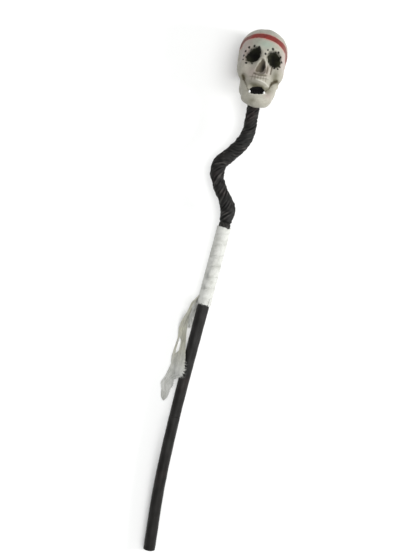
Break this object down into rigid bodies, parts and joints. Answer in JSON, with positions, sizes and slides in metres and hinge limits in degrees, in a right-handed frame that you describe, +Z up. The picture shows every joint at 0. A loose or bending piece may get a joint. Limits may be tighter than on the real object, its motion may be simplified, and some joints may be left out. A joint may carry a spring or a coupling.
{
  "type": "costume skull staff",
  "caption": "Costume staff: a long-jawed skull on a black shaft, bent and ridged below the skull like twisted cloth, with a strip of gauze wound under the bends and its ends hanging free.",
  "frame": {"origin": "on the surface the staff lies on, under the middle of its box", "axes": "+Y along the staff from the foot to the skull's crown, +Z up, out of the skull's face, +X to the right as seen from above with the skull at the top"},
  "size_m": [0.124, 1.1966, 0.1202],
  "materials": {
    "skull_plastic": "satin, painted: red band, dark eye sockets, dots round them and grime in the hollows",
    "black_plastic": "satin, with brown-grey wear on the ridges",
    "gauze": "loose off-white weave with yellow-grey stains and frayed ends"
  },
  "bodies": {
    "root": {"skull": "skull_plastic", "upper_shaft": "black_plastic", "middle_shaft": "black_plastic", "lower_shaft": "black_plastic", "gauze_wrap": "gauze"}
  },
  "joints": []
}
